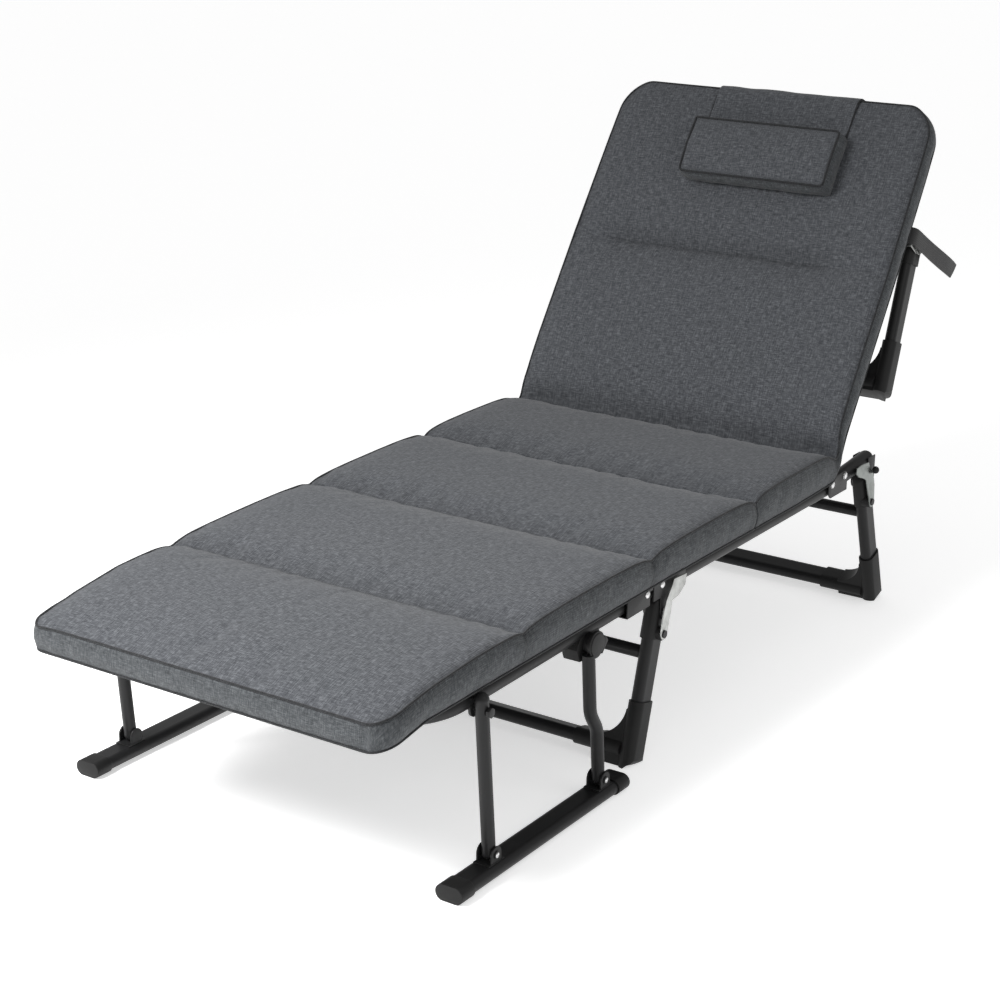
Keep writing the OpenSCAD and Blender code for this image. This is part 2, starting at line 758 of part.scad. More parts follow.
module pillow_flap() color(fabric) in_back()
  translate([pillow_x - pillow_w / 2 + 4, pillow_low + pillow_h + 0.1, back_pad_top + 0.3])
    cube([pillow_w - 8, back_len - pillow_low - pillow_h, 2]);

seat_rails();
rail_tails();
knee_channels();
hip_plates();
leg_brackets();
hinge_pins();
seat_sling();
seat_pad();
mattress_knee();
mattress_crease();
foot_rails();
foot_corners();
foot_end_bar();
foot_channels();
clutch_housings();
strut_lugs();
foot_sling();
foot_pad();
back_rails();
back_corners();
back_top_bar();
back_cross_tube();
hip_gears();
head_leg_brackets();
back_sling();
back_pad();
carry_strap();
pillow_flap_rear();
mid_leg_posts();
mid_leg_floor_bar();
mid_leg_crossbar();
mid_leg_shoes();
mid_leg_sleeves();
mid_lock_plates();
back_leg_posts();
back_leg_floor_bar();
back_leg_crossbar();
back_leg_shoes();
back_leg_sleeves();
back_lock_plates();
head_leg_posts();
head_leg_floor_bar();
head_leg_shoes();
head_leg_sleeves();
front_strut("left");  // front_strut_left
front_strut("right");  // front_strut_right
rear_strut("left");  // rear_strut_left
rear_strut("right");  // rear_strut_right
clutch_disc("left");  // clutch_disc_left
clutch_disc("right");  // clutch_disc_right
skid("left");  // skid_left
skid("right");  // skid_right
skid_caps("left");  // skid_caps_left
skid_caps("right");  // skid_caps_right
skid_clevises("left");  // skid_clevises_left
skid_clevises("right");  // skid_clevises_right
pillow();
pillow_flap();
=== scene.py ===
import bpy
import bmesh
import json
import math
import numpy as np
from mathutils import Matrix, Vector, noise

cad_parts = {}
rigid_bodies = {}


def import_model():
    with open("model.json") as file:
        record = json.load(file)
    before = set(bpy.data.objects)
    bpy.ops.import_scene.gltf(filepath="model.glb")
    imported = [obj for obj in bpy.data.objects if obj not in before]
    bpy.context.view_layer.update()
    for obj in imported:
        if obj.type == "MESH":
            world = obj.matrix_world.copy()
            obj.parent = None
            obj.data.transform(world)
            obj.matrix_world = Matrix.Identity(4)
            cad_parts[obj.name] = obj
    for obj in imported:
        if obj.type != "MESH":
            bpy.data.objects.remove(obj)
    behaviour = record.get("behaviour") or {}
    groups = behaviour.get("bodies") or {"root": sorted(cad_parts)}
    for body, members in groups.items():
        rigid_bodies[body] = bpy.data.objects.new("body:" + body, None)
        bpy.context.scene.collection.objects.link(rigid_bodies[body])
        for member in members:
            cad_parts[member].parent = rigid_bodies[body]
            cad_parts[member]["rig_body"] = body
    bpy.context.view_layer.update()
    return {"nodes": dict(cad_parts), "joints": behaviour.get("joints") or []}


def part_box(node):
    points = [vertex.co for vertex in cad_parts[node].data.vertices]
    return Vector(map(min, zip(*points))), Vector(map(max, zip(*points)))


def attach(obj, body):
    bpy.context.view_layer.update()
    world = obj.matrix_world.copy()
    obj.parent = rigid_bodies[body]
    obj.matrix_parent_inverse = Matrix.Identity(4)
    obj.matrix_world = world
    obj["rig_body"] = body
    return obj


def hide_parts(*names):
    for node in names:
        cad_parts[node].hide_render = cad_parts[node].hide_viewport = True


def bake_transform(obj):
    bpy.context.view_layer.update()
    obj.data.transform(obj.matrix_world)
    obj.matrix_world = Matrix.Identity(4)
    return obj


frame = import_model()
NODES = frame["nodes"]
JOINTS = {j["name"]: j for j in frame["joints"]}
KNEE = Vector(JOINTS["foot_fold"]["pos_m"])
HIP = Vector(JOINTS["back_recline"]["pos_m"])
RECLINE = math.radians(-JOINTS["back_recline"]["range_deg"][0])
ALONG = Vector((0, math.cos(RECLINE), math.sin(RECLINE)))
OUT = Vector((0, -math.sin(RECLINE), math.cos(RECLINE)))

# Stations of the mattress, in metres. On the seat they run from the knee pivot towards the head,
# and on the back they run from the hip pivot up the back.
FOOT_END = -0.643
FOOT_SEAM = -0.344
KNEE_SEAM = -0.012
SPLIT = 0.306           # sewn line where the front and rear mattress meet
CREASE = 0.597          # end of the seat, at the hip
CREASE_UP = 0.036       # start of the back
BACK_QUILT = 0.355      # short sewn line across the back
BACK_END = 0.671
FOOT_CORNER = 0.040
FOOT_CORNER_LEFT = 0.028
BACK_CORNER = 0.066
SIDE_ROUND = 0.006      # how far a cut corner starts past the end
GRID = 0.0095           # size of the cloth's cells
SEAM_DEPTH = 0.0085
KNEE_DEPTH = 0.0095
SPLIT_DEPTH = 0.0115
CREASE_DEPTH = 0.016
SWELL = 0.009           # furthest that a point moves when the pad is inflated
PIPING_R = 0.0018
HEM_R = 0.0016
PILLOW_PIPING_R = 0.0022
FOOT_DROP = 1.07        # slope of the foot section, in degrees
STRAP_W = 0.030


def on_back(x, a, n):
    """Point on the back: across, along from the hip, out of the back's face."""
    return Vector((x, HIP.y, HIP.z)) + ALONG * a + OUT * n


# ---------------------------------------------------------------- camera, light, floor

CAMERA_TURN = 33.85     # degrees from straight along +Y
CAMERA_DOWN = 18.35
CAMERA_ROLL = 0.684
CAMERA_AT = Vector((1.7424, -2.7104, 1.3678))
SENSOR = 36
FOCAL = 2.12756         # focal length in sensor widths


def camera():
    az, down, roll = (math.radians(a) for a in (CAMERA_TURN, CAMERA_DOWN, CAMERA_ROLL))
    d = Vector((-math.sin(az) * math.cos(down), math.cos(az) * math.cos(down), -math.sin(down)))
    r = Vector((math.cos(az), math.sin(az), 0))
    u = r.cross(d)
    r2 = r * math.cos(roll) + u * math.sin(roll)
    u2 = u * math.cos(roll) - r * math.sin(roll)
    data = bpy.data.cameras.new("camera")
    data.sensor_width = SENSOR
    data.lens = SENSOR * FOCAL
    data.clip_end = 50
    cam = bpy.data.objects.new("camera", data)
    m = Matrix((r2, u2, -d)).transposed().to_4x4()
    m.translation = CAMERA_AT
    cam.matrix_world = m
    bpy.context.scene.collection.objects.link(cam)
    bpy.context.scene.camera = cam


def area_light(name, place, aim, size, power, spread=180):
    data = bpy.data.lights.new(name, "AREA")
    data.shape = "RECTANGLE"
    data.size, data.size_y = size
    data.energy = power
    data.spread = math.radians(spread)
    ob = bpy.data.objects.new(name, data)
    ob.location = place
    ob.rotation_euler = (Vector(aim) - Vector(place)).to_track_quat("-Z", "Y").to_euler()
    bpy.context.scene.collection.objects.link(ob)


def studio():
    camera()
    scene = bpy.context.scene
    scene.view_settings.view_transform = "Standard"
    world = bpy.data.worlds.new("studio")
    world.use_nodes = True
    sky = world.node_tree.nodes["Background"]
    sky.inputs["Color"].default_value = (1, 1, 1, 1)
    sky.inputs["Strength"].default_value = 0.5
    scene.world = world
    area_light("key", (-0.7, -2.0, 2.1), (0, -0.72, 0.2), (1.1, 1.1), 27, 84)
    area_light("fill", (2.6, -0.6, 1.9), (0, 0.1, 0.3), (1.4, 1.2), 9)
    me = bpy.data.meshes.new("floor")
    reach = 14
    corners = [(-reach, -reach, 0), (reach, -reach, 0), (reach, reach, 0), (-reach, reach, 0)]
    me.from_pydata(corners, [], [(0, 1, 2, 3)])
    floor = bpy.data.objects.new("floor", me)
    scene.collection.objects.link(floor)
    mat = bpy.data.materials.new("floor")
    mat.use_nodes = True
    b = mat.node_tree.nodes["Principled BSDF"]
    b.inputs["Base Color"].default_value = (0.92, 0.92, 0.92, 1)
    b.inputs["Roughness"].default_value = 0.7
    b.inputs["Emission Color"].default_value = (1, 1, 1, 1)
    b.inputs["Emission Strength"].default_value = 0.52
    me.materials.append(mat)


studio()


# ---------------------------------------------------------------- materials

class Graph:
    """Short names for building a node material."""

    def __init__(self, name):
        self.mat = bpy.data.materials.new(name)
        self.mat.use_nodes = True
        self.t = self.mat.node_tree
        self.bsdf = self.t.nodes["Principled BSDF"]

    def add(self, kind, links=None, **props):
        n = self.t.nodes.new(kind)
        for k, v in props.items():
            setattr(n, k, v)
        for k, v in (links or {}).items():
            if isinstance(v, bpy.types.NodeSocket):
                self.t.links.new(v, n.inputs[k])
            else:
                n.inputs[k].default_value = v
        return n

    def noise(self, vector, scale, detail=3.0, rough=0.55):
        return self.add("ShaderNodeTexNoise", {"Vector": vector, "Scale": scale, "Detail": detail,
                                               "Roughness": rough}).outputs["Fac"]

    def scaled(self, vector, x, y, z=1.0):
        return self.add("ShaderNodeMapping", {"Vector": vector, "Scale": (x, y, z)}).outputs[0]

    def math(self, op, a, b=0.0, clamp=False):
        n = self.add("ShaderNodeMath", {0: a, 1: b}, operation=op)
        n.use_clamp = clamp
        return n.outputs[0]

    def ramp(self, fac, stops):
        n = self.add("ShaderNodeValToRGB", {"Fac": fac})
        e = n.color_ramp.elements
        while len(e) < len(stops):
            e.new(0.5)
        for el, (p, c) in zip(e, stops):
            el.position = p
            el.color = (*c, 1) if len(c) == 3 else c
        return n.outputs[0]

    def mix(self, fac, a, b, blend="MIX"):
        n = self.add("ShaderNodeMix", data_type="RGBA", blend_type=blend)
        for key, v in ((0, fac), (6, a), (7, b)):
            if isinstance(v, bpy.types.NodeSocket):
                self.t.links.new(v, n.inputs[key])
            elif key == 0:
                n.inputs[0].default_value = v
            else:
                n.inputs[key].default_value = (*v, 1)
        return n.outputs[2]

    def bump(self, height, strength, distance, normal=None):
        links = {"Height": height, "Strength": strength, "Distance": distance}
        if normal is not None:
            links["Normal"] = normal
        return self.add("ShaderNodeBump", links).outputs[0]

    def out(self, **sockets):
        for k, v in sockets.items():
            key = k.replace("_", " ")
            if isinstance(v, bpy.types.NodeSocket):
                self.t.links.new(v, self.bsdf.inputs[key])
            else:
                self.bsdf.inputs[key].default_value = v
        return self.mat


def coords(g):
    return g.add("ShaderNodeTexCoord").outputs["Object"]


def grey(v, tint=(1, 1, 1)):
    return (v * tint[0], v * tint[1], v * tint[2])


def powder_coat():
    g = Graph("powder_coat")
    p = coords(g)
    fine = g.noise(p, 1400, 2)
    broad = g.noise(p, 9, 4)
    scuff = g.ramp(g.noise(g.scaled(p, 60, 14, 60), 1.0, 6, 0.7), [(0.66, (0, 0, 0)), (0.78, (1, 1, 1))])
    colour = g.mix(broad, grey(0.0105), grey(0.0165, (1, 1, 1.05)))
    colour = g.mix(g.math("MULTIPLY", scuff, 0.35), colour, grey(0.05))
    rough = g.math("ADD", g.math("MULTIPLY", broad, 0.16), g.math("MULTIPLY", fine, 0.08))
    return g.out(Base_Color=colour, Roughness=g.math("ADD", rough, 0.27), Specular_IOR_Level=0.2,
                 Normal=g.bump(fine, 0.25, 0.0002))


def plastic():
    g = Graph("moulded_plastic")
    p = coords(g)
    grain = g.add("ShaderNodeTexVoronoi", {"Vector": p, "Scale": 900.0}).outputs["Distance"]
    broad = g.noise(p, 22, 4)
    colour = g.mix(broad, grey(0.009), grey(0.016))
    colour = g.mix(g.math("MULTIPLY", g.noise(p, 260, 3, 0.7), 0.3), colour, grey(0.024))
    return g.out(Base_Color=colour, Roughness=g.math("ADD", g.math("MULTIPLY", broad, 0.2), 0.36),
                 Specular_IOR_Level=0.16, Normal=g.bump(grain, 0.2, 0.00025))


def zinc(name="zinc_plate", tint=(1, 1.0, 0.98)):
    g = Graph(name)
    p = coords(g)
    cloud = g.noise(p, 48, 5, 0.6)
    brushed = g.noise(g.scaled(p, 90, 90, 900), 1.0, 3)
    colour = g.ramp(cloud, [(0.25, grey(0.30, tint)), (0.5, grey(0.55, tint)), (0.75, grey(0.74, tint))])
    stain = g.ramp(g.noise(p, 130, 4, 0.7), [(0.58, (0, 0, 0)), (0.72, (1, 1, 1))])
    colour = g.mix(g.math("MULTIPLY", stain, 0.25), colour, (0.20, 0.21, 0.17))
    rough = g.math("ADD", g.math("MULTIPLY", cloud, 0.25), g.math("MULTIPLY", brushed, 0.12))
    return g.out(Base_Color=colour, Metallic=1.0, Roughness=g.math("ADD", rough, 0.14),
                 Normal=g.bump(brushed, 0.12, 0.0002))


def rivet_steel():
    g = Graph("rivet_steel")
    p = coords(g)
    cloud = g.noise(p, 320, 4)
    return g.out(Base_Color=g.ramp(cloud, [(0.3, grey(0.45)), (0.7, grey(0.82))]), Metallic=1.0,
                 Roughness=g.math("ADD", g.math("MULTIPLY", cloud, 0.2), 0.15),
                 Normal=g.bump(cloud, 0.15, 0.0003))


def linen(name, lift=1.0, tint=(1.0, 1.0, 1.0), weave=0.5):
    """Heathered linen. Its UV map is in metres along and across the cut of the cloth."""
    g = Graph(name)
    uv = g.add("ShaderNodeUVMap", uv_map="cut").outputs[0]
    warp = g.noise(g.scaled(uv, 520, 70), 1.0, 3, 0.6)
    weft = g.noise(g.scaled(uv, 70, 520, 1), 1.0, 3, 0.6)
    slub = g.noise(g.scaled(uv, 900, 260), 1.0, 2, 0.7)
    broad = g.noise(uv, 7.0, 4, 0.6)
    fleck = g.math("ADD", g.math("MULTIPLY", warp, 0.5), g.math("MULTIPLY", weft, 0.5))
    fleck = g.math("ADD", g.math("MULTIPLY", fleck, 0.7), g.math("MULTIPLY", slub, 0.12))
    fleck = g.math("ADD", fleck, g.math("MULTIPLY", g.noise(g.scaled(uv, 210, 130), 1.0, 2, 0.6), 0.18))
    dark = tuple(c * lift * t for c, t in zip((0.049, 0.0525, 0.0595), tint))
    mid = tuple(c * lift * t for c, t in zip((0.106, 0.1115, 0.121), tint))
    light = tuple(c * lift * t for c, t in zip((0.212, 0.220, 0.233), tint))
    colour = g.ramp(fleck, [(0.40, dark), (0.5, mid), (0.60, light)])
    colour = g.mix(g.math("MULTIPLY", broad, 0.25), colour, tuple(c * 0.82 for c in mid))
    # the shade vertex colours multiply the colour: painted shade at the sewn lines and rims
    shade = g.add("ShaderNodeVertexColor", layer_name="shade").outputs[0]
    colour = g.mix(1.0, colour, shade, "MULTIPLY")
    across = g.add("ShaderNodeTexWave", {"Vector": uv, "Scale": 105.0, "Distortion": 0.6, "Detail": 1.0},
                   bands_direction="X").outputs["Fac"]
    along = g.add("ShaderNodeTexWave", {"Vector": uv, "Scale": 105.0, "Distortion": 0.6, "Detail": 1.0},
                  bands_direction="Y").outputs["Fac"]
    height = g.math("ADD", g.math("MULTIPLY", across, along), g.math("MULTIPLY", fleck, 0.9))
    soft = g.noise(uv, 26.0, 3, 0.5)
    normal = g.bump(soft, 0.35, 0.004)
    normal = g.bump(height, weave, 0.0007, normal)
    return g.out(Base_Color=colour, Roughness=g.math("ADD", g.math("MULTIPLY", fleck, 0.12), 0.84),
                 Sheen_Weight=0.12, Sheen_Roughness=0.5, Specular_IOR_Level=0.25, Normal=normal)


def webbing(name, value=0.012):
    g = Graph(name)
    uv = g.add("ShaderNodeUVMap", uv_map="cut").outputs[0]
    rib = g.add("ShaderNodeTexWave", {"Vector": uv, "Scale": 160.0, "Distortion": 1.0, "Detail": 1.0},
                bands_direction="X").outputs["Fac"]
    row = g.add("ShaderNodeTexWave", {"Vector": uv, "Scale": 90.0, "Distortion": 1.0, "Detail": 1.0},
                bands_direction="Y").outputs["Fac"]
    cell = g.math("MULTIPLY", rib, row)
    broad = g.noise(uv, 30, 4)
    colour = g.mix(cell, grey(value * 0.6), grey(value * 1.7))
    colour = g.mix(g.math("MULTIPLY", broad, 0.4), colour, grey(value * 1.1, (1, 1, 1.08)))
    return g.out(Base_Color=colour, Roughness=g.math("ADD", g.math("MULTIPLY", cell, 0.15), 0.62),
                 Sheen_Weight=0.15, Normal=g.bump(cell, 0.5, 0.0006))


M = {
    "frame": powder_coat(),
    "plastic": plastic(),
    "zinc": zinc("zinc_plate", (0.72, 0.73, 0.71)),
    "zinc_dull": zinc("zinc_dull", (0.44, 0.47, 0.45)),
    "rivet": rivet_steel(),
    "linen": linen("linen", 0.55, (0.99, 1.0, 1.02)),
    # darker copy of the linen for the cushions' sides and undersides: painted shade
    "linen_shaded_side": linen("linen_shaded_side", 0.50, (0.99, 1.02, 1.01)),
    "piping": linen("piping", 0.15),
    "webbing": webbing("webbing"),
    "sling": webbing("sling", 0.02),
}


# ---------------------------------------------------------------- mesh helpers

def new_piece(name, verts, faces, material, body=None, smooth=True):
    me = bpy.data.meshes.new(name)
    me.from_pydata([tuple(v) for v in verts], [], faces)
    me.validate()
    ob = bpy.data.objects.new(name, me)
    bpy.context.scene.collection.objects.link(ob)
    for m in material if isinstance(material, (list, tuple)) else [material]:
        me.materials.append(m)
    if smooth:
        me.polygons.foreach_set("use_smooth", [True] * len(me.polygons))
    if body:
        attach(ob, body)
    return ob


def apply_modifiers(ob):
    deps = bpy.context.evaluated_depsgraph_get()
    me = bpy.data.meshes.new_from_object(ob.evaluated_get(deps))
    old = ob.data
    ob.modifiers.clear()
    ob.data = me
    bpy.data.meshes.remove(old)
    return ob


def shade_auto(ob, angle):
    """Smooth shading, with edges sharper than angle kept crisp. Only for pieces made here."""
    me = ob.data
    me.polygons.foreach_set("use_smooth", [True] * len(me.polygons))
    bm = bmesh.new()
    bm.from_mesh(me)
    for e in bm.edges:
        if len(e.link_faces) == 2:
            e.smooth = e.calc_face_angle(0) < math.radians(angle)
    bm.to_mesh(me)
    bm.free()


def face_outwards(ob):
    bm = bmesh.new()
    bm.from_mesh(ob.data)
    bmesh.ops.recalc_face_normals(bm, faces=bm.faces)
    bm.to_mesh(ob.data)
    bm.free()


def softened(node, width, material, segments=3, angle=32):
    """A copy of a CAD node with its edges rounded, which stands for the node."""
    src = NODES[node]
    me = src.data.copy()
    me.materials.clear()
    me.materials.append(material)
    ob = bpy.data.objects.new(node + "_finish", me)
    bpy.context.scene.collection.objects.link(ob)
    bm = bmesh.new()
    bm.from_mesh(me)
    bmesh.ops.remove_doubles(bm, verts=bm.verts, dist=1e-6)
    bmesh.ops.dissolve_limit(bm, angle_limit=math.radians(1.5), verts=bm.verts, edges=bm.edges)
    bm.to_mesh(me)
    bm.free()
    mod = ob.modifiers.new("round", "BEVEL")
    mod.width = width
    mod.segments = segments
    mod.limit_method = "ANGLE"
    mod.angle_limit = math.radians(angle)
    mod.harden_normals = False
    mod.use_clamp_overlap = True
    apply_modifiers(ob)
    shade_auto(ob, 40)
    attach(ob, src["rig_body"])
    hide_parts(node)
    return ob


def lathe(name, profile, origin, axis, material, body, steps=40):
    """Turned piece: profile is a list of (radius, distance along axis)."""
    axis = Vector(axis).normalized()
    side = axis.orthogonal().normalized()
    other = axis.cross(side)
    verts, faces = [], []
    for r, h in profile:
        for k in range(steps):
            t = 2 * math.pi * k / steps
            spoke = side * math.cos(t) + other * math.sin(t)
            verts.append(Vector(origin) + axis * h + spoke * max(r, 1e-5))
    for i in range(len(profile) - 1):
        for k in range(steps):
            a, b = i * steps + k, i * steps + (k + 1) % steps
            faces.append((a, b, b + steps, a + steps))
    faces.append(tuple(reversed(range(steps))))
    faces.append(tuple((len(profile) - 1) * steps + k for k in range(steps)))
    ob = new_piece(name, verts, faces, material, body)
    shade_auto(ob, 38)
    return ob


def tube_along(points, radius, sides=10, closed=False):
    """Vertices, faces and lengths of a tube swept along points."""
    pts = [Vector(p) for p in points]
    n = len(pts)
    verts, faces, lengths = [], [], []
    up = None
    total = 0.0
    for i, p in enumerate(pts):
        a = pts[i - 1] if (i > 0 or closed) else pts[i]
        b = pts[(i + 1) % n] if (i < n - 1 or closed) else pts[i]
        t = (b - a).normalized()
        if up is None:
            up = t.orthogonal().normalized()
        up = (up - t * up.dot(t)).normalized()
        side = t.cross(up)
        if i:
            total += (p - pts[i - 1]).length
        r = radius[i] if hasattr(radius, "__len__") else radius
        for k in range(sides):
            w = 2 * math.pi * k / sides
            verts.append(p + (up * math.cos(w) + side * math.sin(w)) * r)
            lengths.append((total, k / sides * 2 * math.pi * r))
    rings = n if closed else n - 1
    for i in range(rings):
        for k in range(sides):
            a, b = i * sides + k, i * sides + (k + 1) % sides
            c, d = ((i + 1) % n) * sides + (k + 1) % sides, ((i + 1) % n) * sides + k
            faces.append((a, b, c, d))
    if not closed:
        faces.append(tuple(reversed(range(sides))))
        faces.append(tuple((n - 1) * sides + k for k in range(sides)))
    return verts, faces, lengths


def set_uv(ob, per_vertex):
    layer = ob.data.uv_layers.get("cut") or ob.data.uv_layers.new(name="cut")
    idx = np.empty(len(ob.data.loops), int)
    ob.data.loops.foreach_get("vertex_index", idx)
    layer.data.foreach_set("uv", np.asarray(per_vertex, float)[idx].ravel())


def set_shade(ob, values):
    """Grey level for each vertex, which the cloth's colour is multiplied by: painted shade, where the level
    is below one.
    """
    v = np.clip(np.asarray(values, float), 0, 1)
    layers = ob.data.color_attributes
    layer = layers.get("shade") or layers.new("shade", "FLOAT_COLOR", "POINT")
    layer.data.foreach_set("color", np.repeat(v[:, None], 4, 1).ravel())


def positions(ob):
    co = np.empty(len(ob.data.vertices) * 3)
    ob.data.vertices.foreach_get("co", co)
    return co.reshape(-1, 3)


def wobble(p, scale, seed=0.0):
    return noise.noise(Vector((p[0] * scale + seed, p[1] * scale - seed, p[2] * scale + 0.5 * seed)))


def puff(ob, pins, cap, grow, pressure=4.0, frames=20):
    """Inflates a closed piece of cloth with its seams held, and applies the result.

    No point moves further than cap.
    """
    start = positions(ob)
    group = ob.vertex_groups.new(name="seams")
    for i, w in enumerate(pins):
        if w > 0:
            group.add([i], float(w), "REPLACE")
    mod = ob.modifiers.new("cloth", "CLOTH")
    s = mod.settings
    s.quality = 5
    s.mass = 0.25
    s.tension_stiffness = 12
    s.compression_stiffness = 12
    s.shear_stiffness = 6
    s.bending_stiffness = 0.6
    s.air_damping = 3
    s.use_pressure = True
    s.uniform_pressure_force = pressure
    s.vertex_group_mass = "seams"
    s.pin_stiffness = 1.0
    s.shrink_min = -grow
    s.effector_weights.gravity = 0
    mod.collision_settings.use_collision = False
    mod.point_cache.frame_start = 1
    mod.point_cache.frame_end = frames
    scene = bpy.context.scene
    for f in range(1, frames + 1):
        scene.frame_set(f)
    deps = bpy.context.evaluated_depsgraph_get()
    me = ob.evaluated_get(deps).to_mesh()
    end = np.empty(len(me.vertices) * 3)
    me.vertices.foreach_get("co", end)
    end = end.reshape(-1, 3)
    ob.evaluated_get(deps).to_mesh_clear()
    ob.modifiers.clear()
    ob.vertex_groups.clear()
    scene.frame_set(1)
    move = np.nan_to_num(end - start)
    far = np.linalg.norm(move, axis=1, keepdims=True)
    move *= np.where(far > 1e-9, cap * np.tanh(far / cap) / np.maximum(far, 1e-9), 0)
    ob.data.vertices.foreach_set("co", (start + move).ravel())
    ob.data.update()


# ---------------------------------------------------------------- the mattress

def spread(lo, hi, step, marks, near=(0.0025, 0.006, 0.012)):
    """Stations from lo to hi at about step, closer beside each mark."""
    fixed = {round(lo, 6), round(hi, 6)}
    for m in marks:
        for d in (0,) + tuple(near) + tuple(-d for d in near):
            if lo + 1e-4 < m + d < hi - 1e-4:
                fixed.add(round(m + d, 6))
    fixed = sorted(fixed)
    out = [fixed[0]]
    for a, b in zip(fixed, fixed[1:]):
        k = max(1, round((b - a) / step))
        out += [a + (b - a) * (i + 1) / k for i in range(k)]
    return np.array(out)


class Pad:
    """Closed cushion as a lattice: i along, j across, k from the bottom to the top."""

    def __init__(self, name, stations, top, bottom, half, across, layers=5, left=None, drop=None):
        self.name = name
        self.left = left or half
        self.drop = drop or [0.0] * len(half)
        self.s, self.top, self.bottom = stations, top, bottom
        self.half, self.across = half, across
        self.ni, self.nj, self.nk = len(stations) - 1, len(across) - 1, layers
        self.index, self.keys, self.verts = {}, [], []
        for i in range(self.ni + 1):
            for j in range(self.nj + 1):
                inner = 0 < i < self.ni and 0 < j < self.nj
                for k in ((0, self.nk) if inner else range(self.nk + 1)):
                    self.index[i, j, k] = len(self.verts)
                    self.keys.append((i, j, k))
                    self.verts.append(self.place(i, j, k))
        self.faces, self.cell = [], []
        for i in range(self.ni):
            for j in range(self.nj):
                ring = ((i, j), (i + 1, j), (i + 1, j + 1), (i, j + 1))
                self.quad(*[(a, b, self.nk) for a, b in ring], 0)
                self.quad((i, j, 0), (i, j + 1, 0), (i + 1, j + 1, 0), (i + 1, j, 0), 1)
        for k in range(self.nk):
            for i in range(self.ni):
                for j, flip in ((0, False), (self.nj, True)):
                    q = [(i, j, k), (i + 1, j, k), (i + 1, j, k + 1), (i, j, k + 1)]
                    self.quad(*(reversed(q) if not flip else q), 1)
            for j in range(self.nj):
                for i, flip in ((0, True), (self.ni, False)):
                    q = [(i, j, k), (i, j + 1, k), (i, j + 1, k + 1), (i, j, k + 1)]
                    self.quad(*(q if flip else reversed(q)), 1)

    def quad(self, a, b, c, d, mat):
        self.faces.append((self.index[a], self.index[d], self.index[c], self.index[b]))
        self.cell.append(mat)

    def place(self, i, j, k):
        t = k / self.nk
        T, B = Vector(self.top[i]), Vector(self.bottom[i])
        p = B.lerp(T, t)
        bulge = 0.005 * math.sin(math.pi * min(max(t, 0), 1)) ** 0.8
        c = self.across[j]
        x = c * (self.half[i] if c > 0 else self.left[i])
        if c < -0.8:
            T = T - Vector((0, self.drop[i] * ((-c - 0.8) / 0.2) ** 2))
            p = B.lerp(T, t)
        if j in (0, self.nj):
            x += math.copysign(bulge, self.across[j])
        if i in (0, self.ni):
            end, inner = (0, 1) if i == 0 else (-1, -2)
            inwards = (Vector(self.top[inner]) - Vector(self.top[end])).normalized()
            p = p - inwards * bulge * (1 - abs(self.across[j]) ** 8)
        return Vector((x, p.x, p.y))

    def build(self, mats):
        ob = new_piece(self.name, self.verts, self.faces, mats)
        ob.data.polygons.foreach_set("material_index", self.cell)
        face_outwards(ob)
        return ob


def interp(x, table):
    return float(np.interp(x, [a for a, _ in table], [b for _, b in table]))


def finish_fabric(ob, uv, shade):
    set_uv(ob, uv)
    set_shade(ob, shade)
    mod = ob.modifiers.new("smooth", "SUBSURF")
    mod.levels = mod.render_levels = 1
    mod.boundary_smooth = "PRESERVE_CORNERS"
    apply_modifiers(ob)
    ob.data.polygons.foreach_set("use_smooth", [True] * len(ob.data.polygons))


def seam_profile(d, depth, reach):
    """Dip of the cloth beside a sewn line, d away from it."""
    return -depth * math.exp(-(abs(d) / reach) ** 0.85)


def columns(near_rim, inner, count):
    """Places across a cushion from -1 to 1, closer beside its rims."""
    rims = [s * v for s in (-1, 1) for v in near_rim]
    return np.array(sorted(set(rims + list(np.linspace(-inner, inner, count)))))


ACROSS = columns((1.0, 0.988, 0.972, 0.95, 0.92), 0.89, 61)

# Height of the mattress's top and underside along the seat.
SEAT_TOP = [(FOOT_END, 0.290), (-0.628, 0.2965), (-0.60, 0.304), (-0.55, 0.3125), (-0.46, 0.3215),
            (-0.344, 0.3275), (-0.19, 0.3305), (-0.012, 0.3335), (0.306, 0.337), (0.50, 0.338),
            (0.575, 0.3395), (CREASE, 0.340)]
SEAT_UNDER = 0.2822
SEAT_BOTTOM = [(FOOT_END, 0.2525), (-0.61, 0.2615), (-0.56, 0.2712), (-0.44, 0.2752), (-0.19, 0.2790),
               (-0.012, 0.2818), (0.05, SEAT_UNDER), (0.60, SEAT_UNDER)]


def half_seat(dy):
    """Half of the seat's width on the right side."""
    return interp(dy, [(FOOT_END, 0.314), (-0.45, 0.319), (0.0, 0.321), (0.45, 0.322),
                       (CREASE, 0.318)])


def left_seat(dy):
    """Half of the seat's width on the left side, which is pressed in a little more."""
    return interp(dy, [(FOOT_END, 0.288), (-0.45, 0.303), (-0.15, 0.309), (0.0, 0.311),
                       (0.35, 0.317), (CREASE, 0.318)])


def left_drop(dy):
    """How much the left rim sags below the right one."""
    return interp(dy, [(FOOT_END, 0.003), (-0.57, 0.009), (-0.45, 0.009), (0.0, 0.007),
                       (CREASE, 0.004)])


def cut_corner(full, d, r):
    """Half width near an end that is d away, with the corner rounded by r."""
    if d >= r:
        return full
    return full - r + math.sqrt(max(r * r - (r - d) ** 2, 0))


def thinned(stations):
    """The stations without those that almost touch the one before."""
    least = 0.0012
    return np.array([v for i, v in enumerate(stations) if i == 0 or v - stations[i - 1] > least])


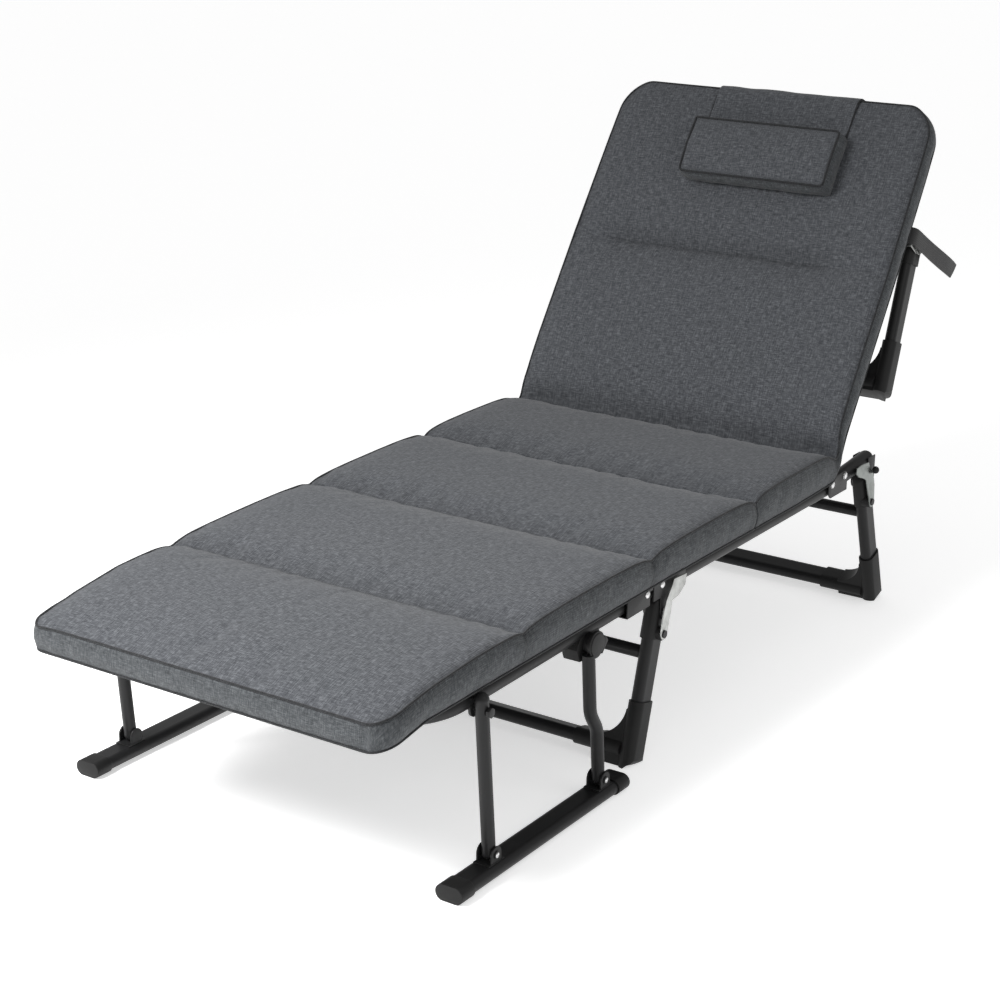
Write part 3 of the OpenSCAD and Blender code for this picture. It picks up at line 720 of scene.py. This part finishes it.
def front_mattress():
    """Foot field and front half of the seat, which bend at the knee."""
    seams = [(FOOT_SEAM, SEAM_DEPTH), (KNEE_SEAM, KNEE_DEPTH)]
    corner = FOOT_CORNER
    s = spread(FOOT_END, SPLIT, GRID, [m for m, _ in seams])
    arc = [FOOT_END + corner * (1 - math.cos(math.radians(a))) for a in (0, 14, 27, 40, 53, 66, 78)]
    straight = [v for v in s if v > FOOT_END + corner * 0.86]
    s = np.array(sorted(straight + arc + [0.3035, 0.300, 0.294]))
    s = thinned(s)
    top = [(KNEE.y + v, interp(v, SEAT_TOP)) for v in s]
    bottom = [(KNEE.y + v, interp(v, SEAT_BOTTOM)) for v in s]
    half = [cut_corner(half_seat(v), v - FOOT_END + 0.004, corner) for v in s]
    left = [cut_corner(left_seat(v), v - FOOT_END + SIDE_ROUND, FOOT_CORNER_LEFT) for v in s]
    return Pad("mattress_front", s, top, bottom, half, ACROSS, 5, left, [left_drop(v) for v in s]), seams


def rear_mattress():
    """Rear half of the seat, the crease, and the back."""
    on_seat = spread(SPLIT, CREASE, GRID, [], ())
    on_seat = np.array(sorted(list(on_seat) + [0.3085, 0.312, 0.318, 0.592, 0.585]))
    up_back = spread(CREASE_UP, BACK_END, GRID, [BACK_QUILT])
    corner = BACK_CORNER
    arc = [BACK_END - corner * (1 - math.cos(math.radians(a))) for a in range(0, 90, 10)]
    straight = [v for v in up_back if v < BACK_END - corner * 0.9]
    up_back = thinned(np.array(sorted(straight + arc + [0.039, 0.044, 0.052])))
    top, bottom, half, left, drop, s = [], [], [], [], [], []
    hip_bottom = HIP.y - 0.017
    for v in on_seat:
        t = (v - SPLIT) / (CREASE - SPLIT)
        top.append((KNEE.y + v, interp(v, SEAT_TOP)))
        under = (KNEE.y + SPLIT) * (1 - t) + (hip_bottom - 0.004) * t
        bottom.append((under, SEAT_UNDER))
        half.append(half_seat(v))
        left.append(left_seat(v))
        drop.append(left_drop(v))
        s.append(v)
    for a in up_back[1:]:
        p = on_back(0, a, 0.050)
        top.append((p.y, p.z))
        low = interp(a, [(CREASE_UP, 0.004), (0.09, 0.088), (BACK_END, BACK_END)])
        q = on_back(0, low, 0.0142)
        bottom.append((q.y, q.z))
        w = interp(a, [(CREASE_UP, 0.318), (0.08, 0.313), (0.36, 0.312), (0.55, 0.309),
                       (BACK_END, 0.305)])
        half.append(cut_corner(w, BACK_END - a + 0.003, corner))
        left.append(half[-1])
        drop.append(interp(a, [(CREASE_UP, 0.004), (0.15, 0.0)]))
        s.append(CREASE + a - CREASE_UP)
    return Pad("mattress_rear", np.array(s), top, bottom, half, ACROSS, 5, left, drop)


def dress_pad(pad, dips, mats, pinned_row, cap=SWELL, grow=0.012, rim=0.8):
    """Presses the sewn lines in, inflates the cushion and gives its cut and its painted shade.

    Each dip is (station, depth, from, to, length over which it fades out at its ends).
    """
    ob = pad.build(mats)
    co = positions(ob)
    keys = pad.keys
    normals = []
    for i in range(pad.ni + 1):
        a, b = max(i - 1, 0), min(i + 1, pad.ni)
        t = Vector(pad.top[b]) - Vector(pad.top[a])
        normals.append(Vector((-t.y, t.x)).normalized())
    pins = np.zeros(len(co))
    shade = np.ones(len(co))
    uv = np.zeros((len(co), 2))
    for v, (i, j, k) in enumerate(keys):
        s, x = pad.s[i], pad.across[j] * pad.half[i]
        t = k / pad.nk
        uv[v] = (s, x + (0.06 * (1 - t) if k < pad.nk else 0))
        if j in (0, pad.nj) and 0 < k < pad.nk:
            uv[v] = (s, math.copysign(pad.half[i] + 0.05 * (1 - t), x))
        elif i in (0, pad.ni) and 0 <= k < pad.nk:
            uv[v] = (s + (0.05 * (1 - t) if i else -0.05 * (1 - t)), x)
        edge = (1 - abs(pad.across[j])) * pad.half[i]
        depth_here = 0.0
        dark = 1.0
        pin = 0.0
        for (s0, depth, lo, hi, fade) in dips:
            run = 1.0       # how strongly the line shows here, from 0 to 1
            if fade > 0:
                run = min(max((x - lo) / fade, 0), 1) * min(max((hi - x) / fade, 0), 1)
                run = run * run * (3 - 2 * run)
            if run <= 0:
                continue
            wave = 0.0022 * wobble((x, s0, 0), 14.0, s0 * 9)
            d = s - s0 - (wave if abs(s - s0) > 0.001 else 0)
            dip = seam_profile(d, 1.25 * depth * run, 0.023)
            pleat = wobble((x * 3.2, s0, d * 0.7), 14.0, s0 * 5 + 2)
            dip += 0.0022 * run * pleat * math.exp(-(abs(d) - 0.012) ** 2 / 0.0004)
            depth_here += dip * (t if k < pad.nk else 1)
            # painted shade: a thin dark line along each sewn line and a wider soft band in the crease
            # beside it
            soft = math.exp(-((d - 0.008) / 0.021) ** 2)
            dark = min(dark, 1 - 0.26 * run * math.exp(-(d / 0.0032) ** 2) - 0.17 * run * soft)
            if abs(s - s0) < 0.0012 and run > 0.5:
                pin = max(pin, 1.0 if k in (0, pad.nk) else 0.6)
        n = normals[i]
        co[v][1] += n.x * depth_here
        co[v][2] += n.y * depth_here
        # painted shade in a thin line on the top, just inside the piping
        if k == pad.nk and 0.003 < edge:
            dark = min(dark, 1 - 0.55 * math.exp(-((edge - 0.0060) / 0.0022) ** 2))
        pins[v] = pin
        if j in (0, pad.nj) or i in (0, pad.ni):
            if k == pad.nk or k == 0:
                pins[v] = rim
        if i == pinned_row:
            pins[v] = 1.0
        if k == 0:
            pins[v] = max(pins[v], 0.92)
        # painted shade: darker on the underside and the bottom edge of the sides
        if k == 0 or (k < pad.nk and t < 0.12):
            dark *= 0.9
        # painted shade on the top row of the sides, under the piping
        if k == pad.nk - 1:
            dark *= 0.86
        shade[v] = dark
    ob.data.vertices.foreach_set("co", co.ravel())
    ob.data.update()
    puff(ob, pins, cap, grow)
    return ob, uv, shade


def rim_points(pad, ob, k, end):
    """The pad's rim at layer k as a list of points: one side, across the given end, the other side."""
    co = positions(ob)
    rows = list(range(pad.ni + 1))
    row = pad.ni
    if end == "start":
        rows.reverse()
        row = 0
    places = [(i, 0) for i in rows]
    places += [(row, j) for j in range(1, pad.nj)]
    places += [(i, pad.nj) for i in reversed(rows)]
    return [co[pad.index[i, j, k]] for i, j in places]


def smooth_line(points, spacing=0.006):
    pts = np.array([tuple(p) for p in points])
    d = np.r_[0, np.cumsum(np.linalg.norm(np.diff(pts, axis=0), axis=1))]
    n = max(8, int(d[-1] / spacing))
    g = np.linspace(0, d[-1], n)
    out = np.stack([np.interp(g, d, pts[:, a]) for a in range(3)], 1)
    for _ in range(2):
        out[1:-1] = 0.25 * out[:-2] + 0.5 * out[1:-1] + 0.25 * out[2:]
    return out


def piping(name, line, radius, material):
    verts, faces, uv = tube_along(smooth_line(line), radius, 8)
    ob = new_piece(name, verts, faces, material)
    set_uv(ob, uv)
    set_shade(ob, np.ones(len(verts)))
    return ob


def sewn_across(station, depth):
    """A sewn line from rim to rim."""
    return (station, depth, -1, 1, 0)


def make_half(pad, dips, part, end, pinned_row):
    """One half of the mattress with its piping above and its hem below."""
    # top in the linen; sides and underside in its darker copy, which carries painted shade
    ob, uv, shade = dress_pad(pad, dips, [M["linen"], M["linen_shaded_side"]], pinned_row)
    rim = rim_points(pad, ob, pad.nk, end)
    low = rim_points(pad, ob, 0, end)
    finish_fabric(ob, uv, shade)
    pieces = [ob, piping("piping_" + part, rim, PIPING_R, M["piping"]),
              piping("hem_" + part, low, HEM_R, M["piping"])]
    return pieces


def make_mattress():
    pad, seams = front_mattress()
    dips = [sewn_across(s, d) for s, d in seams] + [sewn_across(SPLIT, SPLIT_DEPTH)]
    pieces = make_half(pad, dips, "front", "start", pad.ni)
    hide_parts("foot_pad", "mattress_knee")
    for piece in pieces:
        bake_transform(piece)

    pad = rear_mattress()
    quilt = (CREASE + BACK_QUILT - CREASE_UP, SEAM_DEPTH, -0.262, 0.222, 0.05)
    dips = [sewn_across(SPLIT, SPLIT_DEPTH), sewn_across(CREASE, CREASE_DEPTH), quilt]
    pieces = make_half(pad, dips, "rear", "end", 0)
    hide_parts("seat_pad", "mattress_crease", "back_pad")
    for piece in pieces:
        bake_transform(piece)


make_mattress()


# ---------------------------------------------------------------- pillow and its flap

def make_pillow():
    """Box bolster. Its sides across, its ends up the back, and its faces out of the back."""
    lo, hi = -0.121, 0.170
    a0, a1 = 0.478, 0.590
    n0, n1 = 0.0545, 0.106
    mid = (lo + hi) / 2
    half = (hi - lo) / 2 - 0.004
    steps = spread(a0 + 0.003, a1 - 0.003, 0.0075, [])
    across = columns((1.0, 0.975, 0.94), 0.9, 35)
    crown = [0.004 * math.sin(math.pi * (a - a0) / (a1 - a0)) for a in steps]
    upper = [on_back(0, a, n1 - 0.010 + c) for a, c in zip(steps, crown)]
    lower = [on_back(0, a, n0 + 0.002) for a in steps]
    pad = Pad("pillow_bolster", steps, [(p.y, p.z) for p in upper], [(p.y, p.z) for p in lower],
              [half] * len(steps), across, 7)
    # sides, ends and underside in the darker copy of the linen: painted shade
    ob = pad.build([M["linen"], M["linen_shaded_side"]])
    co = positions(ob)
    co[:, 0] += mid
    pins = np.zeros(len(co))
    uv = np.zeros((len(co), 2))
    for v, (i, j, k) in enumerate(pad.keys):
        corner = (j in (0, pad.nj)) + (i in (0, pad.ni)) + (k in (0, pad.nk))
        pins[v] = 0.75 if corner >= 2 else 0.0
        if k == 0:
            pins[v] = 1.0
        rise = 0.05 * k / pad.nk
        uv[v] = (steps[i] + (rise if i in (0, pad.ni) else 0), co[v][0] + (rise if j in (0, pad.nj) else 0))
    ob.data.vertices.foreach_set("co", co.ravel())
    ob.data.update()
    puff(ob, pins, 0.010, 0.01)
    rim = rim_points(pad, ob, pad.nk, "start")
    rim = rim + rim_points(pad, ob, pad.nk, "end")[pad.ni:-pad.ni][::-1]
    low = rim_points(pad, ob, 0, "start")
    finish_fabric(ob, uv, np.ones(len(co)))
    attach(ob, "pillow")
    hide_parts("pillow")
    for name, line in (("piping_pillow", rim), ("hem_pillow", low)):
        p = piping(name, line, PILLOW_PIPING_R, M["piping"])
        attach(p, "pillow")
    return mid, half


def ribbon_faces(rows, cols):
    """Faces of a closed ribbon: an upper and a lower sheet of rows by cols cells, joined at the rim."""
    faces = []
    one = rows * (cols + 1)
    for i in range(rows - 1):
        for j in range(cols):
            a = i * (cols + 1) + j
            faces.append((a, a + 1, a + cols + 2, a + cols + 1))
            faces.append((one + a, one + a + cols + 1, one + a + cols + 2, one + a + 1))
    for i in range(rows - 1):
        for j in (0, cols):
            a, b = i * (cols + 1) + j, (i + 1) * (cols + 1) + j
            faces.append((a, b, one + b, one + a) if j == 0 else (a, one + a, one + b, b))
    for j in range(cols):
        for i in (0, rows - 1):
            a, b = i * (cols + 1) + j, i * (cols + 1) + j + 1
            faces.append((a, one + a, one + b, b) if i == 0 else (a, b, one + b, one + a))
    return faces


def strip(name, centre, normals, lo, hi, thick, material, cols=40, ripple=0.0, seed=0.0):
    """Closed ribbon of cloth: centre is a list of points at x = 0, lo and hi its edges across."""
    rows = len(centre)
    verts, uv = [], []
    d = [0.0]
    for a, b in zip(centre, centre[1:]):
        d.append(d[-1] + (b - a).length)
    for face in (1, -1):
        for i in range(rows):
            for j in range(cols + 1):
                x = lo + (hi - lo) * j / cols
                w = ripple * wobble((x, d[i], 0), 22.0, seed)
                verts.append(centre[i] + Vector((x, 0, 0)) + normals[i] * (face * thick / 2 + w))
                uv.append((d[i], x))
    ob = new_piece(name, verts, ribbon_faces(rows, cols), material)
    set_uv(ob, uv)
    set_shade(ob, np.ones(len(verts)))
    face_outwards(ob)
    shade_auto(ob, 50)
    return ob, d[-1]


def make_flap(mid, half):
    """Cloth from the pillow up the back, over its top edge and down behind."""
    line = []
    for a in np.linspace(0.586, 0.648, 12):
        line.append((a, 0.0595 + (0.004 if a < 0.60 else 0)))
    for w in np.linspace(0, 90, 10):
        t = math.radians(w)
        line.append((0.656 + 0.0215 * math.sin(t), 0.038 + 0.0215 * math.cos(t)))
    for n in np.linspace(0.030, -0.016, 8):
        line.append((0.6785, n))
    pts = [on_back(0, a, n) for a, n in line]
    norm = []
    for i in range(len(pts)):
        t = (pts[min(i + 1, len(pts) - 1)] - pts[max(i - 1, 0)]).normalized()
        n = Vector((0, -t.z, t.y))
        norm.append(n if n.dot(OUT + ALONG) > 0 else -n)
    w = half - 0.004
    ob, length = strip("pillow_flap_cloth", pts, norm, mid - w, mid + w, 0.0024, M["linen"],
                       cols=44, ripple=0.0016, seed=3.0)
    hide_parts("pillow_flap", "pillow_flap_rear")
    sides = []
    for number, x in enumerate((mid - w, mid + w)):
        p = piping("flap_edge_%d" % number, [q + Vector((x, 0, 0)) for q in pts], HEM_R, M["piping"])
        sides.append(p)
    for o in [ob] + sides:
        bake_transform(o)


make_flap(*make_pillow())


# ---------------------------------------------------------------- slings and strap

def make_slings():
    """Woven panels laced between the rails under the mattress."""
    for node, body, top in (("seat_sling", "seat", "seat_rails"), ("foot_sling", "foot", "foot_rails"),
                            ("back_sling", "back", "back_rails")):
        lo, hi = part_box(node)
        up = Vector((0, 0, 1))
        if body == "back":
            line = [on_back(0, a, 0.0132) for a in np.linspace(0.032, 0.642, 60)]
            up = OUT
        elif body == "foot":
            slope = math.tan(math.radians(FOOT_DROP))
            line = [Vector((0, y, KNEE.z - 0.0088 + (y - KNEE.y) * slope))
                    for y in np.linspace(lo.y, hi.y, 50)]
        else:
            line = [Vector((0, y, (hi.z + lo.z) / 2)) for y in np.linspace(lo.y, hi.y, 50)]
        ob, length = strip(node + "_cloth", line, [up] * len(line), lo.x, hi.x, 0.0012, M["sling"], 30)
        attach(ob, body)
        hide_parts(node)


make_slings()


def make_strap():
    """Webbing that comes over the rail of the back and hangs free behind it."""
    route = [(0.262, 0.0133), (0.300, 0.0133), (0.3175, 0.0125), (0.3215, 0.006), (0.3235, -0.010),
             (0.3275, -0.045), (0.3325, -0.090), (0.3355, -0.125), (0.3362, -0.150)]
    dense = smooth_line([(x, n, 0) for x, n in route], 0.004)
    verts, uv = [], []
    cols = 8
    rows = len(dense)
    for face in (1, -1):
        d = 0.0
        for i in range(rows):
            p = dense[i]
            q0, q1 = dense[max(i - 1, 0)], dense[min(i + 1, rows - 1)]
            tx, tn = q1[0] - q0[0], q1[1] - q0[1]
            l = math.hypot(tx, tn)
            nx, nn = -tn / l, tx / l
            if i:
                d += math.hypot(p[0] - dense[i - 1][0], p[1] - dense[i - 1][1])
            t = i / (rows - 1)
            lean = 0.012 * t * t
            for j in range(cols + 1):
                a = 0.432 + STRAP_W * j / cols + lean
                off = face * 0.0008 + 0.0015 * math.sin(7 * t + 2.0 * j / cols) * t
                end = -0.010 * (j / cols) if i == rows - 1 else 0
                verts.append(on_back(p[0] + nx * off, a, p[1] + nn * off + end))
                uv.append((d, STRAP_W * j / cols))
    ob = new_piece("carry_strap_web", verts, ribbon_faces(rows, cols), M["webbing"])
    face_outwards(ob)
    set_uv(ob, uv)
    shade_auto(ob, 50)
    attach(ob, "back")
    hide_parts("carry_strap")


make_strap()


# ---------------------------------------------------------------- frame finish

# How far each node's edges are rounded, and its material.
ROUNDED = {
    "mid_leg_shoes": (0.0022, "plastic"),
    "back_leg_shoes": (0.0022, "plastic"),
    "head_leg_shoes": (0.0022, "plastic"),
    "mid_leg_sleeves": (0.0012, "plastic"),
    "back_leg_sleeves": (0.0012, "plastic"),
    "head_leg_sleeves": (0.0012, "plastic"),
    "skid_caps_left": (0.0015, "plastic"),
    "skid_caps_right": (0.0015, "plastic"),
    "clutch_housings": (0.0015, "plastic"),
    "clutch_disc_left": (0.0012, "plastic"),
    "clutch_disc_right": (0.0012, "plastic"),
    "mid_lock_plates": (0.0006, "zinc"),
    "back_lock_plates": (0.0006, "zinc_dull"),
    "knee_channels": (0.0006, "frame"),
    "foot_channels": (0.0006, "frame"),
    "hip_plates": (0.0006, "frame"),
    "leg_brackets": (0.0006, "frame"),
    "strut_lugs": (0.0008, "frame"),
    "skid_clevises_left": (0.0006, "frame"),
    "skid_clevises_right": (0.0006, "frame"),
    "head_leg_brackets": (0.0006, "zinc"),
    "hinge_pins": (0.0007, "rivet"),
}


SIDES = (("left", 1), ("right", -1))
BIG_DOME = [(1, 0.0), (1, 0.0008), (0.86, 0.0019), (0.5, 0.0027), (0.12, 0.0030)]
SMALL_DOME = [(0.0040, 0.0), (0.0040, 0.0006), (0.0028, 0.0014), (0.0006, 0.0018)]


def rivet(name, x, y, z, body, r=0.0068):
    """Domed rivet on each side of the frame; y is measured from the knee pivot."""
    for side, sx in SIDES:
        profile = [(r * part, h) for part, h in BIG_DOME]
        place = (sx * x, KNEE.y + y, z)
        lathe(name + "_" + side, profile, place, (sx, 0, 0), M["rivet"], body, 28)


def skid_rivets():
    """Small domes on the outer cheeks of the clevises."""
    for side, sx in SIDES:
        for end, y in (("front", -0.426), ("rear", -0.149)):
            place = (sx * 0.3369, KNEE.y + y, 0.034)
            lathe("rivet_skid_" + end + "_" + side, SMALL_DOME, place, (sx, 0, 0), M["rivet"],
                  "skid_" + side, 24)


def black_knobs(ob):
    """The outer end of each rear lock plate's knob is plastic."""
    ob.data.materials.append(M["plastic"])
    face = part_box("back_lock_plates")[1].x - 0.0096
    for p in ob.data.polygons:
        if abs(p.center.x) > face:
            p.material_index = 1


def frame_finish():
    for node, (width, mat) in ROUNDED.items():
        ob = softened(node, width, M[mat])
        if node == "back_lock_plates":
            black_knobs(ob)
    for ob in NODES.values():
        if not ob.hide_render:
            ob.data.materials.clear()
            ob.data.materials.append(M["frame"])
    skid_rivets()
    rivet("rivet_hip_front", 0.3156, 0.600, 0.277, "seat")
    rivet("rivet_hip_rear", 0.3156, 0.648, 0.281, "seat")
    rivet("rivet_knee_seat", 0.3153, 0.0317, 0.2724, "seat", 0.0058)
    rivet("rivet_knee_foot", 0.3177, -0.0160, 0.2715, "foot", 0.0058)


frame_finish()
